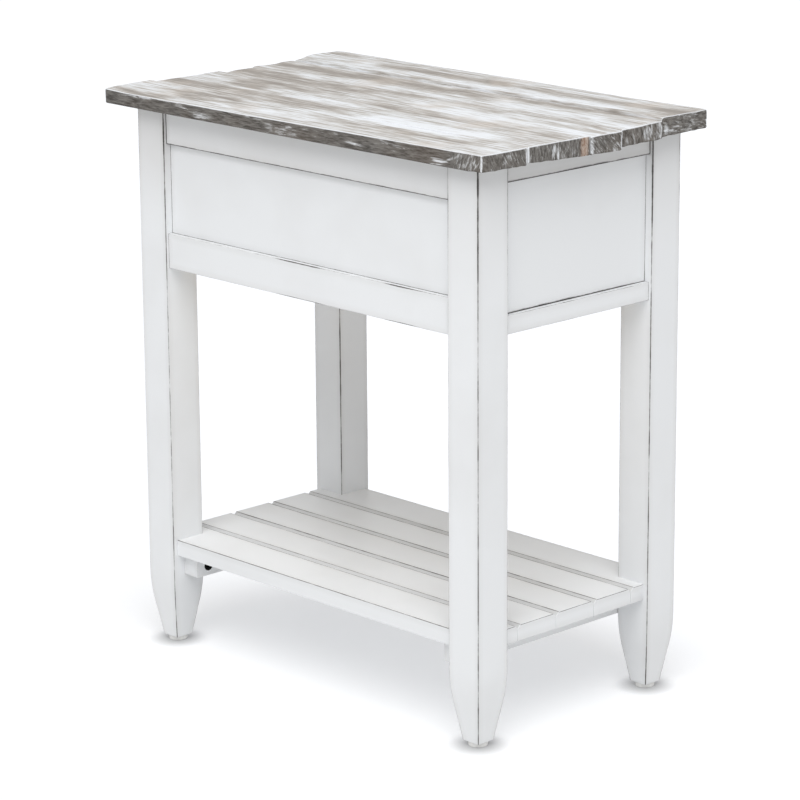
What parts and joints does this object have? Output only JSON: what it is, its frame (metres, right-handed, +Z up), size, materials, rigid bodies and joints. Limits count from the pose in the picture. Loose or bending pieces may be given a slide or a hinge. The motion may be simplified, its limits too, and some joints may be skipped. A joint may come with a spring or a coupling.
{
  "type": "side table with drawer",
  "caption": "Narrow painted side table with square tapered legs, a panelled apron holding one drawer in its short end, a slatted lower shelf and a plank top.",
  "frame": {"origin": "on the floor, under the middle of the top", "axes": "+Z up, the drawer opens towards -Y, and +X is to the right of someone who stands before the drawer and looks along +Y"},
  "size_m": [0.3486, 0.6076, 0.664],
  "materials": {
    "white_paint": "satin white paint over wood, rubbed through to a dark glaze along the edges",
    "washed_plank": "weathered plank with a rubbed white wash, matte, darker on the sawn edges",
    "bare_wood": "bare planed softwood, matte",
    "zinc_steel": "zinc-plated steel screws",
    "black_steel": "black oxide on steel bolts",
    "glide_plastic": "off-white nylon glides"
  },
  "bodies": {
    "table": {"back_lower_rail": "white_paint", "back_panel": "white_paint", "back_top_rail": "white_paint", "cleat_bolts": "black_steel", "drawer_guide_left": "bare_wood", "drawer_guide_right": "bare_wood", "drawer_kicker_left": "bare_wood", "drawer_kicker_right": "bare_wood", "drawer_runner_left": "bare_wood", "drawer_runner_right": "bare_wood", "drawer_stop_left": "bare_wood", "drawer_stop_right": "bare_wood", "foot_glides": "glide_plastic", "front_lower_rail": "white_paint", "front_top_rail": "white_paint", "kicker_screws": "zinc_steel", "leg_back_left": "white_paint", "leg_back_right": "white_paint", "leg_front_left": "white_paint", "leg_front_right": "white_paint", "pullout_stop": "bare_wood", "pullout_stop_screw": "zinc_steel", "shelf_board_1": "white_paint", "shelf_board_2": "white_paint", "shelf_board_3": "white_paint", "shelf_board_4": "white_paint", "shelf_board_5": "white_paint", "shelf_cleat_back": "white_paint", "shelf_cleat_front": "white_paint", "shelf_screws": "zinc_steel", "side_lower_rail_left": "white_paint", "side_lower_rail_right": "white_paint", "side_panel_left": "white_paint", "side_panel_right": "white_paint", "side_top_rail_left": "white_paint", "side_top_rail_right": "white_paint", "top_batten_back": "bare_wood", "top_batten_front": "bare_wood", "top_batten_middle": "bare_wood", "top_plank_1": "washed_plank", "top_plank_2": "washed_plank", "top_plank_3": "washed_plank", "top_plank_4": "washed_plank", "top_plank_5": "washed_plank", "top_screws": "zinc_steel"},
    "drawer": {"drawer_front": "white_paint", "drawer_side_right": "bare_wood", "drawer_side_left": "bare_wood", "drawer_back": "bare_wood", "drawer_bottom": "bare_wood", "drawer_bottom_screws": "zinc_steel", "drawer_knob": "white_paint", "drawer_knob_screw": "zinc_steel"}
  },
  "joints": [
    {"name": "drawer_slide", "type": "slide", "parent": "table", "child": "drawer", "axis": [0, -1, 0], "range_m": [0, 0.34]}
  ]
}
